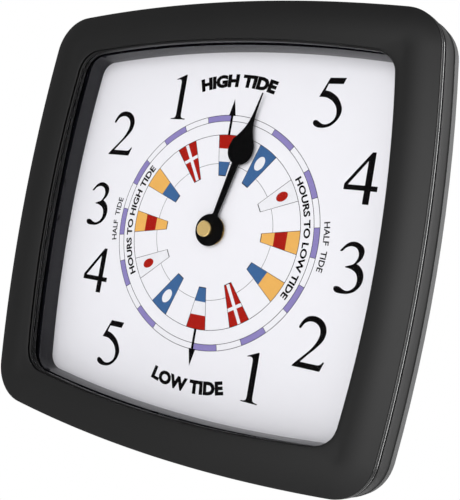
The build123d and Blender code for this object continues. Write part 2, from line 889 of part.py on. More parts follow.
with BuildPart() as setting_pinion:
    with BuildSketch(front(setting_gear_level)):
        add(gear_outline(setting_pinion_teeth, setting_module, 0))
    extrude(amount=setting_gear_width)
    with BuildSketch(front(setting_gear_level)):
        Circle(setting_hub_radius)
    extrude(amount=clutch_level - setting_gear_level)
    with BuildSketch(front(setting_gear_level)):
        Circle(arbor_body_radius + seat_clearance)
    extrude(amount=clutch_level - setting_gear_level, mode=Mode.SUBTRACT)
setting_pinion.part.label = "setting_pinion"
export_step(setting_pinion.part, "parts/setting_pinion.step")

# Three like wheels carry the drive from the rotor to the tide wheel
arbor_low = cover_face - pivot_depth
arbor_high = pivot_front + pivot_boss_height
third_phase = meshed_phase(train_pinion_teeth, tide_wheel_teeth, third_wheel_bearing)
second_phase = meshed_phase(train_pinion_teeth, train_wheel_teeth, second_wheel_bearing)
first_phase = meshed_phase(train_pinion_teeth, train_wheel_teeth, first_wheel_bearing)
rotor_phase = meshed_phase(train_pinion_teeth, train_wheel_teeth, rotor_bearing)
train_wheels = [
    ("third_wheel", third_place, third_wheel_level, tide_wheel_level, third_phase),
    ("second_wheel", second_place, second_wheel_level, third_wheel_level, second_phase),
    ("first_wheel", first_place, first_wheel_level, second_wheel_level, first_phase),
]
for wheel_name, place, wheel_level, driven_level, pinion_phase in train_wheels:
    with BuildPart() as train_wheel:
        with BuildSketch(spot(place, wheel_level)):
            add(gear_outline(train_wheel_teeth, train_module, 0))
            add(lightened(train_wheel_teeth), mode=Mode.SUBTRACT)
        extrude(amount=wheel_thickness)
        with BuildSketch(spot(place, driven_level - pinion_overhang)):
            add(gear_outline(train_pinion_teeth, train_module, pinion_phase))
        extrude(amount=pinion_length)
        with BuildSketch(spot(place, arbor_low)):
            Circle(train_arbor_radius)
        extrude(amount=arbor_high - arbor_low)
    train_wheel.part.label = wheel_name
    export_step(train_wheel.part, f"parts/{wheel_name}.step")

with BuildPart() as rotor:
    with BuildSketch(spot(rotor_place, first_wheel_level - pinion_overhang)):
        add(gear_outline(train_pinion_teeth, train_module, rotor_phase))
    extrude(amount=pinion_length)
    with BuildSketch(spot(rotor_place, arbor_low)):
        Circle(train_arbor_radius)
    extrude(amount=arbor_high - arbor_low)
rotor.part.label = "rotor"
export_step(rotor.part, "parts/rotor.step")

with BuildPart() as rotor_magnet:
    with BuildSketch(spot(rotor_place, magnet_level)):
        Circle(magnet_radius)
        Circle(train_arbor_radius + seat_clearance / 2, mode=Mode.SUBTRACT)
    extrude(amount=magnet_thickness)
rotor_magnet.part.label = "rotor_magnet"
export_step(rotor_magnet.part, "parts/rotor_magnet.step")

# Stator: a ring round the magnet with an arm to each end of the coil's core
arm_knee = bobbin_half + case_clearance - coil_offset
with BuildPart() as stator_plate:
    for end_x, end_y in coil_ends:
        with BuildSketch(front(stator_level)):
            with BuildLine():
                Polyline(
                    (end_x, end_y - stator_arm_width / 2),
                    (arm_knee, end_y - stator_arm_width / 2),
                    (rotor_place[0], rotor_place[1] - magnet_radius),
                    (rotor_place[0], rotor_place[1] + magnet_radius),
                    (arm_knee, end_y + stator_arm_width / 2),
                    (end_x, end_y + stator_arm_width / 2),
                    close=True,
                )
            make_face()
            with Locations((end_x, end_y)):
                Circle(stator_arm_width / 2)
        extrude(amount=stator_thickness)
    with BuildSketch(spot(rotor_place, stator_level)):
        Circle(magnet_radius + stator_gap + stator_ring_width)
    extrude(amount=stator_thickness)
    with BuildSketch(spot(rotor_place, stator_level)):
        Circle(magnet_radius + stator_gap)
    extrude(amount=stator_thickness, mode=Mode.SUBTRACT)
    with BuildSketch(front(stator_level)):
        with Locations(coil_ends):
            Circle(stator_screw_radius + seat_clearance)
    extrude(amount=stator_thickness, mode=Mode.SUBTRACT)
stator_plate.part.label = "stator_plate"
export_step(stator_plate.part, "parts/stator_plate.step")

core_length = coil_high_end - coil_low_end + 2 * post_radius
core_middle = (coil_low_end + coil_high_end) / 2
with BuildPart() as coil_core:
    with BuildSketch(front(core_level)):
        with Locations((-coil_offset, core_middle)):
            Rectangle(core_width, core_length)
        with Locations(coil_ends):
            Circle(stator_screw_radius + seat_clearance, mode=Mode.SUBTRACT)
    extrude(amount=core_thickness)
coil_core.part.label = "coil_core"
export_step(coil_core.part, "parts/coil_core.step")

# The bobbin is a square tube with two square flanges, threaded on the core
core_centre = core_level + core_thickness / 2
tube_half_width = core_width / 2 + bobbin_play + bobbin_wall
tube_half_depth = core_thickness / 2 + bobbin_play + bobbin_wall
coil_axis_low = Plane(
    origin=clock.from_local_coords((-coil_offset, bobbin_low, core_centre)),
    x_dir=clock.x_dir,
    z_dir=clock.y_dir,
)
bobbin_length = bobbin_high - bobbin_low
with BuildPart() as coil_bobbin:
    with BuildSketch(coil_axis_low):
        Rectangle(2 * tube_half_width, 2 * tube_half_depth)
    extrude(amount=bobbin_length)
    with BuildSketch(coil_axis_low, coil_axis_low.offset(bobbin_length - bobbin_flange)):
        Rectangle(2 * bobbin_half, 2 * bobbin_half)
    extrude(amount=bobbin_flange)
    with BuildSketch(coil_axis_low):
        Rectangle(core_width + 2 * bobbin_play, core_thickness + 2 * bobbin_play)
    extrude(amount=bobbin_length, mode=Mode.SUBTRACT)
coil_bobbin.part.label = "coil_bobbin"
export_step(coil_bobbin.part, "parts/coil_bobbin.step")

with BuildPart() as coil_winding:
    with BuildSketch(coil_axis_low.offset(bobbin_flange)):
        Circle(bobbin_half - winding_set_back)
        Rectangle(2 * tube_half_width, 2 * tube_half_depth, mode=Mode.SUBTRACT)
    extrude(amount=bobbin_length - 2 * bobbin_flange)
coil_winding.part.label = "coil_winding"
export_step(coil_winding.part, "parts/coil_winding.step")

with BuildPart() as stator_screws:
    with BuildSketch(front(stator_level)):
        with Locations(coil_ends):
            Circle(stator_screw_head_radius)
    extrude(amount=-stator_screw_head_height)
    with BuildSketch(front(stator_level)):
        with Locations(coil_ends):
            Circle(stator_screw_radius)
    extrude(amount=stator_thickness + core_thickness + stator_screw_reach - shake)
stator_screws.part.label = "stator_screws"
export_step(stator_screws.part, "parts/stator_screws.step")

with BuildPart() as circuit_board:
    with BuildSketch(front(board_level)):
        with Locations(board_centre):
            Rectangle(board_right - board_left, board_high - board_low)
        with Locations(board_posts):
            Circle(stake_radius + seat_clearance, mode=Mode.SUBTRACT)
    extrude(amount=board_thickness)
circuit_board.part.label = "circuit_board"
export_step(circuit_board.part, "parts/circuit_board.step")

board_top = board_level + board_thickness
crystal_plane = Plane(
    origin=clock.from_local_coords((*crystal_place, board_top + crystal_radius)),
    x_dir=clock.x_dir,
    z_dir=clock.y_dir,
)
with BuildPart() as quartz_crystal:
    with BuildSketch(crystal_plane):
        Circle(crystal_radius)
    extrude(amount=crystal_length)
quartz_crystal.part.label = "quartz_crystal"
export_step(quartz_crystal.part, "parts/quartz_crystal.step")

with BuildPart() as timing_chip:
    with BuildSketch(spot(chip_place, board_top)):
        Circle(chip_radius)
    extrude(amount=chip_height)
    fillet(timing_chip.faces().sort_by(Axis.Y)[0].edges(), chip_height / 2)
timing_chip.part.label = "timing_chip"
export_step(timing_chip.part, "parts/timing_chip.step")

# The cell lies across the bay with its nub to the viewer's right
battery_level = inner_front - case_clearance - battery_radius
battery_left = spring_room - movement_inner_width / 2
battery_axis = Plane(
    origin=clock.from_local_coords((battery_left, bay_middle, battery_level)),
    x_dir=clock.y_dir,
    z_dir=clock.x_dir,
)
with BuildPart() as battery:
    with BuildSketch(battery_axis):
        Circle(battery_radius)
    extrude(amount=battery_body_length)
    fillet(battery.edges().filter_by(GeomType.CIRCLE), battery_edge_round)
    with BuildSketch(battery_axis.offset(battery_body_length)):
        Circle(battery_nub_radius)
    extrude(amount=battery_nub_length)
battery.part.label = "battery"
export_step(battery.part, "parts/battery.step")

# Positive contact: a plate at the bay's right wall, with a tab into the gear chamber
contact_out = movement_inner_width / 2 - contact_touch
tab_end = chamber_low + contact_tab_depth
with BuildPart() as positive_contact:
    with BuildSketch(front(contact_low_level)):
        with Locations((contact_out - contact_thickness / 2, bay_middle)):
            Rectangle(contact_thickness, 2 * contact_half_width)
    extrude(amount=contact_depth)
    with BuildSketch(front(contact_low_level)):
        with Locations((contact_out - contact_thickness / 2, (bay_middle + tab_end) / 2)):
            Rectangle(contact_thickness, tab_end - bay_middle)
    extrude(amount=contact_tab_depth)
positive_contact.part.label = "positive_contact"
export_step(positive_contact.part, "parts/positive_contact.step")

# Negative contact: a bowed leaf at the left, and a strip along the divider to the board
strip_v = chamber_low + contact_thickness
with BuildPart() as negative_contact:
    with BuildSketch(front(contact_low_level)):
        with BuildLine():
            Line(
                (-contact_out + contact_thickness / 2, bay_middle - contact_half_width),
                (-contact_out + contact_thickness / 2, bay_middle + contact_half_width),
            )
            ThreePointArc(
                (-contact_out + contact_thickness / 2, bay_middle - contact_half_width),
                (battery_left - spring_set_back, bay_middle),
                (-contact_out + contact_thickness / 2, bay_middle + contact_half_width),
            )
        trace(line_width=contact_thickness)
    extrude(amount=contact_depth)
    with BuildSketch(front(contact_low_level)):
        with Locations((-contact_out + contact_thickness / 2, (bay_middle + strip_v) / 2)):
            Rectangle(contact_thickness, strip_v - bay_middle)
        with Locations(((board_left + contact_half_width - contact_out) / 2, strip_v)):
            Rectangle(board_left + contact_half_width + contact_out, contact_thickness)
    extrude(amount=contact_tab_depth)
negative_contact.part.label = "negative_contact"
export_step(negative_contact.part, "parts/negative_contact.step")

# The setting knob stands behind the cover, and its gear meshes with the arbor's pinion
knob_top = movement_rear - knob_gap
knob_phase = meshed_phase(knob_gear_teeth, setting_pinion_teeth, knob_bearing)
with BuildPart() as setting_knob:
    with BuildSketch(spot(knob_place, knob_top)):
        Circle(knob_radius)
        with PolarLocations(knob_radius, knob_grip_count):
            Circle(knob_grip_radius, mode=Mode.SUBTRACT)
    extrude(amount=-knob_height)
    with BuildSketch(spot(knob_place, knob_top)):
        Circle(knob_shaft_radius)
    extrude(amount=setting_gear_level + setting_gear_width - knob_top)
    with BuildSketch(spot(knob_place, setting_gear_level)):
        add(gear_outline(knob_gear_teeth, setting_module, knob_phase))
    extrude(amount=setting_gear_width)
setting_knob.part.label = "setting_knob"
export_step(setting_knob.part, "parts/setting_knob.step")
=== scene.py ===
import json

import bmesh
import bpy
import numpy as np
from mathutils import Matrix, Vector
from mathutils.geometry import tessellate_polygon

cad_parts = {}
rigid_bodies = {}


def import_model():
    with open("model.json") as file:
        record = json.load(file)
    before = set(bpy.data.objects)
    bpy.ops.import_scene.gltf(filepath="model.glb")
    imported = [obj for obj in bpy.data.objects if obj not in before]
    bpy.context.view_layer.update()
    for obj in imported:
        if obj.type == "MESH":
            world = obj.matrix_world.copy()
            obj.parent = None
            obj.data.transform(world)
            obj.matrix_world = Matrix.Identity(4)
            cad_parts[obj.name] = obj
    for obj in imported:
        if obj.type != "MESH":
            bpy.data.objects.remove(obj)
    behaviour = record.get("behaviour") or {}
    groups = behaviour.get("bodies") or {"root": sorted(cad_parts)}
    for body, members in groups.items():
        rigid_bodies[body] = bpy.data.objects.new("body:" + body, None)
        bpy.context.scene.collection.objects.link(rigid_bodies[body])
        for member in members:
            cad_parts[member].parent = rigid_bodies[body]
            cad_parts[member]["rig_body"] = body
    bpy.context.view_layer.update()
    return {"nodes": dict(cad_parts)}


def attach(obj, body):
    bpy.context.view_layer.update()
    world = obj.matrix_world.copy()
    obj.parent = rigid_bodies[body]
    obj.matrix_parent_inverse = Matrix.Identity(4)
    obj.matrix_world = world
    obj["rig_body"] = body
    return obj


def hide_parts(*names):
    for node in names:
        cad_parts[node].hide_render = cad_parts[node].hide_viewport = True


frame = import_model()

MM = 0.001

# Case sizes in millimetres, the same as the frame's
HALF_WIDTH = 94.2
HALF_HEIGHT = 90.8
SIDE_BOW = 4.05
TOP_BOW = 4.45
CORNER_RADIUS = 16.8
DIAL_STAND = 19.4
DIAL_DROP = 52.0
RING_RADIUS = 48.5

# The window's corners are rounder than the case's: from SOFTER_FROM inwards, in full at SOFTER_FULL
SOFTER_FROM = 12.5
SOFTER_FULL = 14.5
LIP_SOFTER = 9.0
SPACER_SOFTER = 6.0

# The side beads lie between these heights over the dial
BEAD_HEIGHTS = (12.2, 13.3)

# The four screw bosses inside the bezel's corners
BOSS_ACROSS = 80.79
BOSS_UP = 76.96
BOSS_RADIUS = 2.6
BOSS_LOW = 2.6
BOSS_HIGH = 14.35

# The hand at rest, and how far its needle is drawn in
HAND_BEARING = 14.0
NEEDLE_START = 38.0
HAND_LENGTH = 59.2
NEEDLE_SQUEEZE = 0.5


def clock_to_frame(points):
    """Points given as right, up and towards the viewer from the dial's centre, in millimetres, put into
    the frame in metres: X is right, Y is away from the viewer, Z is up."""
    right, up, out = np.asarray(points, float).T
    return np.stack([right, -DIAL_STAND - out, up - DIAL_DROP], axis=1) * MM


def piece(name, points, faces, body, surface, slot=None, stands_for=(), smooth=30.0):
    """A mesh object at the origin with its place in its vertices, shaded smooth up to that angle."""
    mesh = bpy.data.meshes.new(name)
    mesh.from_pydata(clock_to_frame(points).tolist(), [], [list(map(int, face)) for face in faces])
    mesh.update()
    made = bpy.data.objects.new(name, mesh)
    bpy.context.scene.collection.objects.link(made)
    mesh.materials.append(surface)
    mesh.shade_smooth()
    mesh.set_sharp_from_angle(angle=np.radians(smooth))
    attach(made, body)
    if stands_for:
        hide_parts(*stands_for)
    return made


def finished(node, surface, edge=0.0, smooth=28.0):
    """A merged copy of a frame node with its flat faces joined, so that its edges can be rounded by edge
    millimetres and its curved walls shade smooth."""
    source = frame["nodes"][node]
    body = source["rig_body"]
    mesh = source.data.copy()
    work = bmesh.new()
    work.from_mesh(mesh)
    bmesh.ops.remove_doubles(work, verts=work.verts, dist=1e-6)
    bmesh.ops.dissolve_limit(work, angle_limit=np.radians(0.5), verts=work.verts, edges=work.edges)
    work.to_mesh(mesh)
    work.free()
    mesh.materials.clear()
    mesh.materials.append(surface)
    mesh.shade_smooth()
    mesh.set_sharp_from_angle(angle=np.radians(smooth))
    made = bpy.data.objects.new(node + "_finished", mesh)
    bpy.context.scene.collection.objects.link(made)
    if edge:
        rounding = made.modifiers.new("rounded_edges", "BEVEL")
        rounding.width = edge * MM
        rounding.segments = 2
        rounding.limit_method = "ANGLE"
        rounding.angle_limit = np.radians(40.0)
        rounding.harden_normals = True
    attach(made, body)
    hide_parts(node)
    return made


# Node materials

class Wire:
    """An output socket of a node. Python's operators on it add Math nodes to the same nodes."""

    def __init__(self, nodes, socket):
        self.nodes = nodes
        self.socket = socket

    def math(self, operation, first, second):
        made = self.nodes.node("ShaderNodeMath", {"operation": operation}, {0: first, 1: second})
        return Wire(self.nodes, made.outputs[0])

    def __add__(self, other):
        return self.math("ADD", self, other)

    __radd__ = __add__

    def __mul__(self, other):
        return self.math("MULTIPLY", self, other)

    __rmul__ = __mul__

    def __sub__(self, other):
        return self.math("SUBTRACT", self, other)

    def __rsub__(self, other):
        return self.math("SUBTRACT", other, self)

    def __gt__(self, other):
        return self.math("GREATER_THAN", self, other)

    def __lt__(self, other):
        return self.math("LESS_THAN", self, other)

    def at_least(self, other):
        return self.math("MAXIMUM", self, other)


class Nodes:
    """The node tree of a material or of the world, started empty."""

    def __init__(self, owner):
        owner.use_nodes = True
        self.tree = owner.node_tree
        self.tree.nodes.clear()

    def node(self, kind, settings, sockets):
        made = self.tree.nodes.new(kind)
        for key, value in settings.items():
            if key == "stops":
                for element, (position, colour) in zip(made.color_ramp.elements, value):
                    element.position = position
                    element.color = colour
            else:
                setattr(made, key, value)
        for key, value in sockets.items():
            value = value.socket if isinstance(value, Wire) else value
            if isinstance(value, bpy.types.NodeSocket):
                self.tree.links.new(value, made.inputs[key])
            else:
                made.inputs[key].default_value = value
        return made

    def split(self, vector):
        made = self.node("ShaderNodeSeparateXYZ", {}, {0: vector})
        return [Wire(self, output) for output in made.outputs]

    def blend(self, share, low, high):
        low, high = [end if isinstance(end, Wire) else (*end, 1) for end in (low, high)]
        made = self.node("ShaderNodeMix", {"data_type": "RGBA"}, {0: share, 6: low, 7: high})
        return Wire(self, made.outputs[2])


class Surface(Nodes):
    """A node material with one Principled shader. Its patterns read Object coordinates, in metres."""

    def __init__(self, name):
        self.material = bpy.data.materials.new(name)
        super().__init__(self.material)
        self.place = self.node("ShaderNodeTexCoord", {}, {}).outputs["Object"]

    def noise(self, scale, detail=2.0):
        made = self.node("ShaderNodeTexNoise", {}, {"Vector": self.place, "Scale": scale, "Detail": detail})
        return Wire(self, made.outputs["Fac"])

    def stripes(self, direction, scale, distortion=0.0):
        made = self.node(
            "ShaderNodeTexWave",
            {"bands_direction": direction},
            {"Vector": self.place, "Scale": scale, "Distortion": distortion, "Detail": 1.0},
        )
        return Wire(self, made.outputs["Fac"])

    def relief(self, height, depth):
        made = self.node("ShaderNodeBump", {}, {"Height": height, "Distance": depth, "Strength": 1.0})
        return Wire(self, made.outputs["Normal"])

    def shade(self, **sockets):
        names = {key.replace("_", " ").title().replace("Ior", "IOR"): value for key, value in sockets.items()}
        shader = self.node("ShaderNodeBsdfPrincipled", {}, names)
        self.node("ShaderNodeOutputMaterial", {}, {"Surface": shader.outputs[0]})
        return self.material


def shades(colour, spread):
    """The colour made darker and lighter by spread, as a share of itself."""
    return [tuple(min(1.0, part * (1 + side * spread)) for part in colour) for side in (-1, 1)]


def moulded(
    name, colour, roughness, grain=900.0, grain_depth=4e-6, spread=0.08, drift=0.05, gloss=0.5, polished=None
):
    """Moulded plastic: a fine grain in relief, with slow drifts of tone and of gloss. Polished gives two
    heights over the dial in millimetres, between which a bright coat lies on the beads."""
    surface = Surface(name)
    slow = surface.noise(28.0, 3.0)
    fine = surface.noise(grain)
    low, high = shades(colour, spread)
    coat = 0.0
    if polished:
        depth = surface.split(surface.place)[1]
        near, far = [-(DIAL_STAND + rise) * MM for rise in polished]
        coat = (depth < near) * (depth > far)
    return surface.shade(
        base_color=surface.blend(slow, low, high),
        roughness=roughness + (slow - 0.5) * drift + (fine - 0.5) * drift,
        specular_ior_level=gloss,
        coat_weight=coat,
        coat_roughness=0.09,
        normal=surface.relief(fine, grain_depth),
    )


def plated(name, colour, roughness, direction="X", scale=900.0, depth=1.5e-6, spread=0.06):
    """Bare or plated metal with fine tool marks in one direction."""
    surface = Surface(name)
    marks = surface.stripes(direction, scale, 3.0)
    slow = surface.noise(120.0)
    low, high = shades(colour, spread)
    return surface.shade(
        base_color=surface.blend(slow, low, high),
        metallic=1.0,
        roughness=roughness + (marks - 0.5) * 0.06 + (slow - 0.5) * 0.08,
        normal=surface.relief(marks, depth),
    )


def ink(name, colour, gloss=0.1):
    """Printed ink, its tone a little uneven as screen printing is."""
    surface = Surface(name)
    cover = surface.noise(450.0)
    low, high = shades(colour, 0.05)
    return surface.shade(
        base_color=surface.blend(cover, low, high),
        roughness=0.6 + (cover - 0.5) * 0.1,
        specular_ior_level=gloss,
    )


def clear_lens():
    """Clear moulded acrylic: almost all of it lets the dial through, and the rest is a soft gloss."""
    surface = Surface("clear_lens")
    slow = surface.noise(15.0)
    return surface.shade(
        base_color=(0.02, 0.02, 0.022, 1),
        roughness=0.04 + slow * 0.03,
        specular_ior_level=0.15,
        alpha=0.05,
    )


def wound_wire():
    """Turns of enamelled copper wire side by side along the coil."""
    surface = Surface("wound_wire")
    turns = surface.stripes("Z", 1400.0, 0.4)
    return surface.shade(
        base_color=surface.blend(turns, (0.28, 0.09, 0.03), (0.62, 0.26, 0.1)),
        metallic=0.85,
        roughness=0.38,
        normal=surface.relief(turns, 3e-5),
    )


def cell_jacket():
    """A plain cell jacket: blue, with a copper-coloured band at the nub's end and bare steel ends."""
    surface = Surface("cell_jacket")
    along, _, _ = surface.split(surface.place)
    slow = surface.noise(60.0)
    jacket = surface.blend(slow, (0.02, 0.05, 0.14), (0.03, 0.07, 0.18))
    banded = surface.blend(along > 0.0125, jacket, (0.5, 0.22, 0.08))
    bare = (along > 0.0246) + (along < -0.0239)
    return surface.shade(
        base_color=surface.blend(bare, banded, (0.55, 0.55, 0.56)),
        metallic=bare * 0.6 + 0.35,
        roughness=0.32 + (slow - 0.5) * 0.06,
    )


def solder_mask():
    """Green board with a pattern of paler tracks."""
    surface = Surface("solder_mask")
    tracks = surface.stripes("Z", 160.0, 6.0) > 0.72
    return surface.shade(
        base_color=surface.blend(tracks, (0.008, 0.07, 0.025), (0.03, 0.15, 0.06)),
        roughness=0.35 + tracks * 0.1,
    )


def dial_paint():
    """White dial paint with a faint cool cast, and a barely uneven gloss."""
    surface = Surface("dial_paint")
    slow = surface.noise(9.0, 3.0)
    fine = surface.noise(700.0)
    return surface.shade(
        base_color=surface.blend(slow, (0.835, 0.83, 0.875), (0.86, 0.855, 0.9)),
        roughness=0.46 + (fine - 0.5) * 0.06,
        normal=surface.relief(fine, 2e-6),
    )


case_black = moulded("case_black", (0.0065, 0.0065, 0.0066), 0.36, gloss=0.2, polished=BEAD_HEIGHTS)
back_black = moulded("back_black", (0.016, 0.016, 0.0165), 0.55, grain=500.0, grain_depth=2e-5)
spacer_gloss = moulded("spacer_gloss", (0.006, 0.006, 0.009), 0.13, grain_depth=5e-7, drift=0.02, gloss=0.33)
seal_rubber = moulded("seal_rubber", (0.008, 0.008, 0.008), 0.75)
movement_black = moulded("movement_black", (0.02, 0.02, 0.022), 0.5)
gear_acetal = moulded("gear_acetal", (0.78, 0.75, 0.66), 0.42)
knob_grey = moulded("knob_grey", (0.55, 0.55, 0.54), 0.5)
potting = moulded("potting", (0.01, 0.01, 0.01), 0.25, grain_depth=1e-6)
screw_zinc = plated("screw_zinc", (0.6, 0.6, 0.62), 0.32)
strip_nickel = plated("strip_nickel", (0.66, 0.64, 0.6), 0.3)
magnet_grey = plated("magnet_grey", (0.13, 0.13, 0.135), 0.5)
can_bright = plated("can_bright", (0.8, 0.8, 0.82), 0.24, "Z")
turned_brass = plated("turned_brass", (0.78, 0.56, 0.22), 0.28)
polished_brass = plated("polished_brass", (0.95, 0.68, 0.27), 0.2, depth=5e-7)
hand_paint = moulded("hand_paint", (0.0006, 0.0006, 0.0006), 0.4, grain_depth=1e-6, gloss=0.012)
ink_black = ink("ink_black", (0.0014, 0.001, 0.0012), gloss=0.012)
ink_line = ink("ink_line", (0.012, 0.012, 0.015), gloss=0.03)
ink_lilac = ink("ink_lilac", (0.26, 0.22, 0.5))
ink_red = ink("ink_red", (0.38, 0.009, 0.004), gloss=0.04)
ink_blue = ink("ink_blue", (0.045, 0.125, 0.3), gloss=0.04)
ink_yellow = ink("ink_yellow", (0.82, 0.44, 0.11), gloss=0.04)
ink_white = ink("ink_white", (0.82, 0.82, 0.86))
lens_clear = clear_lens()

plain_nodes = {
    "lens": lens_clear,
    "lens_gasket": seal_rubber,
    "case_seal": seal_rubber,
    "dial": dial_paint(),
    "back_case": back_black,
    "case_screws": screw_zinc,
    "movement_front_case": movement_black,
    "movement_rear_cover": movement_black,
    "movement_cushion": seal_rubber,
    "threaded_bush": turned_brass,
    "brass_washer": turned_brass,
    "hex_nut": turned_brass,
    "tide_arbor": turned_brass,
    "tide_wheel": gear_acetal,
    "clutch_spring": strip_nickel,
    "setting_pinion": gear_acetal,
    "third_wheel": gear_acetal,
    "second_wheel": gear_acetal,
    "first_wheel": gear_acetal,
    "rotor": gear_acetal,
    "rotor_magnet": magnet_grey,
    "stator_plate": strip_nickel,
    "coil_core": strip_nickel,
    "coil_bobbin": gear_acetal,
    "coil_winding": wound_wire(),
    "stator_screws": screw_zinc,
    "circuit_board": solder_mask(),
    "quartz_crystal": can_bright,
    "timing_chip": potting,
    "battery": cell_jacket(),
    "positive_contact": strip_nickel,
    "negative_contact": strip_nickel,
    "setting_knob": knob_grey,
}
for node_name, surface in plain_nodes.items():
    mesh = frame["nodes"][node_name].data
    mesh.materials.clear()
    mesh.materials.append(surface)


# The case's rings

def arc_run(centre_x, centre_y, radius, start, end, steps):
    """Arcs about like centres, one for each entry of the arrays: centre + radius * (cos, sin) of an angle
    that goes evenly from start to end degrees. The first axis runs along the arc, the second over arcs."""
    angle = np.radians(start + (end - start) * np.arange(steps)[:, None] / steps)
    return np.stack([centre_x + radius * np.cos(angle), centre_y + radius * np.sin(angle)], axis=-1)


def case_outlines(outward, softer, side_steps=44, corner_steps=26):
    """The case's outline drawn out by each entry of outward, as four long arcs and four corner arcs that
    run into each other: a long arc's radius is (span^2 + bow^2 + 2 bow corner) / (2 bow). The corners'
    radius is that of the case plus outward plus softer * s^2 (3 - 2s), where s goes from 0 at SOFTER_FROM
    to 1 at SOFTER_FULL."""
    inward = np.clip((-outward - SOFTER_FROM) / (SOFTER_FULL - SOFTER_FROM), 0, 1)
    corner = CORNER_RADIUS + outward + softer * inward**2 * (3 - 2 * inward)
    corner_x = HALF_WIDTH + outward - SIDE_BOW - corner
    corner_y = HALF_HEIGHT + outward - TOP_BOW - corner
    side = (corner_y**2 + SIDE_BOW**2 + 2 * SIDE_BOW * corner) / (2 * SIDE_BOW)
    top = (corner_x**2 + TOP_BOW**2 + 2 * TOP_BOW * corner) / (2 * TOP_BOW)
    side_x = HALF_WIDTH + outward - side
    top_y = HALF_HEIGHT + outward - top
    side_turn = np.degrees(np.arctan2(corner_y, corner_x - side_x))
    top_turn = np.degrees(np.arctan2(corner_x, corner_y - top_y))
    return np.concatenate([
        arc_run(side_x, 0, side, -side_turn, side_turn, side_steps),
        arc_run(corner_x, corner_y, corner, side_turn, 90 - top_turn, corner_steps),
        arc_run(0, top_y, top, 90 - top_turn, 90 + top_turn, side_steps),
        arc_run(-corner_x, corner_y, corner, 90 + top_turn, 180 - side_turn, corner_steps),
        arc_run(-side_x, 0, side, 180 - side_turn, 180 + side_turn, side_steps),
        arc_run(-corner_x, -corner_y, corner, 180 + side_turn, 270 - top_turn, corner_steps),
        arc_run(0, -top_y, top, 270 - top_turn, 270 + top_turn, side_steps),
        arc_run(corner_x, -corner_y, corner, 270 + top_turn, 360 - side_turn, corner_steps),
    ])


def ring(profile, softer):
    """A closed profile of (outward, rise) points carried round the case: each point of the profile runs along
    the outline drawn out by outward, raised by rise. Returns points and four-sided faces."""
    outward, rise = np.asarray(profile, float).T
    flat = case_outlines(outward, softer)
    steps, corners = flat.shape[:2]
    height = np.broadcast_to(rise, (steps, corners))[:, :, None]
    points = np.concatenate([flat, height], axis=2).reshape(-1, 3)
    along, across = np.meshgrid(np.arange(steps), np.arange(corners), indexing="ij")
    next_along, next_across = (along + 1) % steps, (across + 1) % corners
    faces = np.stack(
        [
            along * corners + across,
            next_along * corners + across,
            next_along * corners + next_across,
            along * corners + next_across,
        ],
        axis=-1,
    )
    return points, faces.reshape(-1, 4)


def through(first, middle, last, steps=14):
    """Points of the circle through three points: its centre is where the two chords' perpendicular
    bisectors meet, and the angle goes evenly from first to last by way of middle."""
    a, b, c = (np.asarray(p, float) for p in (first, middle, last))
    sides = 2 * np.array([b - a, c - a])
    centre = np.linalg.solve(sides, [b @ b - a @ a, c @ c - a @ a])
    angles = [np.arctan2(*(p - centre)[::-1]) for p in (a, b, c)]
    turn = (angles[2] - angles[0]) % (2 * np.pi)
    if (angles[1] - angles[0]) % (2 * np.pi) > turn:
        turn -= 2 * np.pi
    angle = angles[0] + np.linspace(0, turn, steps)
    radius = np.linalg.norm(a - centre)
    return [tuple(p) for p in centre + radius * np.stack([np.cos(angle), np.sin(angle)], axis=1)]


def eased(corners, steps=4):
    """A closed outline whose corners, given as (x, y, ease), are rounded: near a corner the line runs along
    the curve (1-t)^2 before + 2t(1-t) corner + t^2 after, where before and after lie ease away from it."""
    places = np.array([corner[:2] for corner in corners], float)
    ease = np.array([corner[2] if len(corner) > 2 else 0.0 for corner in corners], float)
    to_last = np.roll(places, 1, axis=0) - places
    to_next = np.roll(places, -1, axis=0) - places
    reach_last = np.linalg.norm(to_last, axis=1, keepdims=True)
    reach_next = np.linalg.norm(to_next, axis=1, keepdims=True)
    before = places + to_last / reach_last * np.minimum(ease[:, None], reach_last * 0.45)
    after = places + to_next / reach_next * np.minimum(ease[:, None], reach_next * 0.45)
    t = np.linspace(0, 1, steps)[None, :, None]
    curve = (1 - t) ** 2 * before[:, None] + 2 * t * (1 - t) * places[:, None] + t**2 * after[:, None]
    line = [row if rounded else row[:1] for row, rounded in zip(curve, ease > 0)]
    return np.concatenate(line)


bezel_profile = eased([
    (0.5, 3.0, 0.15),
    (0.3, 11.4, 0.15),
    (-0.3, 11.4),
    *through((-0.3, 12.2), (0.2, 12.75), (-0.3, 13.3)),
    (-2.4, 13.3),
    (-2.4, 14.2),
    (0.0, 14.2, 0.1),
    *through((0.0, 14.5), (-0.176, 14.924), (-0.6, 15.1), 8),
    *through((-0.6, 15.1), (-7.0, 16.0), (-15.1, 15.55), 30)[1:],
    *through((-15.1, 15.55), (-15.241, 15.491), (-15.3, 15.35), 6)[1:],
    (-15.3, 15.3),
    (-14.6, 15.3),
    *through((-14.6, 14.1), (-15.8, 13.5), (-14.6, 12.9)),
    (-14.55, 12.9),
    (-14.55, 12.1),
    (-15.25, 12.1, 0.15),
    (-15.25, 10.6, 0.15),
    (-12.4, 10.6),
    (-12.4, 5.0),
    (-10.8, 5.0),
    (-10.8, 14.45),
    (-7.0, 13.8),
    (-3.6, 12.9),
    (-3.6, 12.2),
    (-2.1, 10.6),
    (-2.1, 3.0),
])


